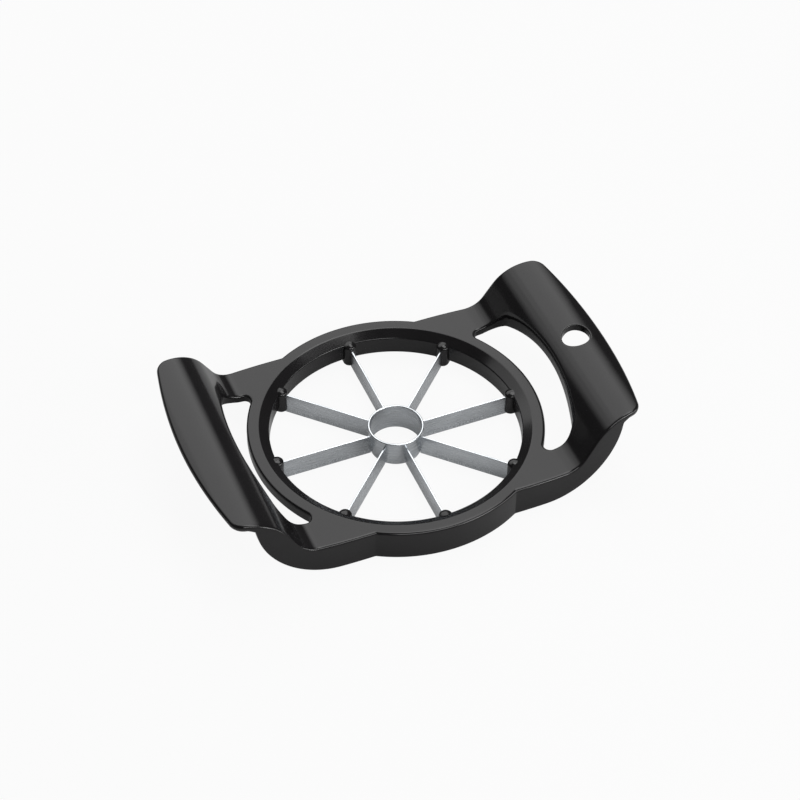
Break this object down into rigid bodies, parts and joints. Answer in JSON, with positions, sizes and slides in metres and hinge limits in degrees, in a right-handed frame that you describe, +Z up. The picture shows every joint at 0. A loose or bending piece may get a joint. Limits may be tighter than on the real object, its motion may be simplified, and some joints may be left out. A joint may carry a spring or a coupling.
{
  "type": "apple slicer",
  "caption": "Push-down fruit wedger with a round cutting ring, radial blades, a corer tube and two raised side handles.",
  "frame": {"origin": "on the table under the axis of the corer tube", "axes": "+X through the handle with the hanging hole, +Y across the frame, +Z up, away from the cutting edges"},
  "size_m": [0.1584, 0.1058, 0.0303],
  "materials": {
    "frame_plastic": "black ABS, moulded with a satin-gloss skin",
    "tube_steel": "stainless steel tube, brushed round its axis",
    "blade_steel": "stainless steel strip, brushed lengthwise, ground edge"
  },
  "bodies": {
    "root": {"frame": "frame_plastic", "core_tube": "tube_steel", "blade_1": "blade_steel", "blade_2": "blade_steel", "blade_3": "blade_steel", "blade_4": "blade_steel", "blade_5": "blade_steel", "blade_6": "blade_steel", "blade_7": "blade_steel", "blade_8": "blade_steel"}
  },
  "joints": []
}
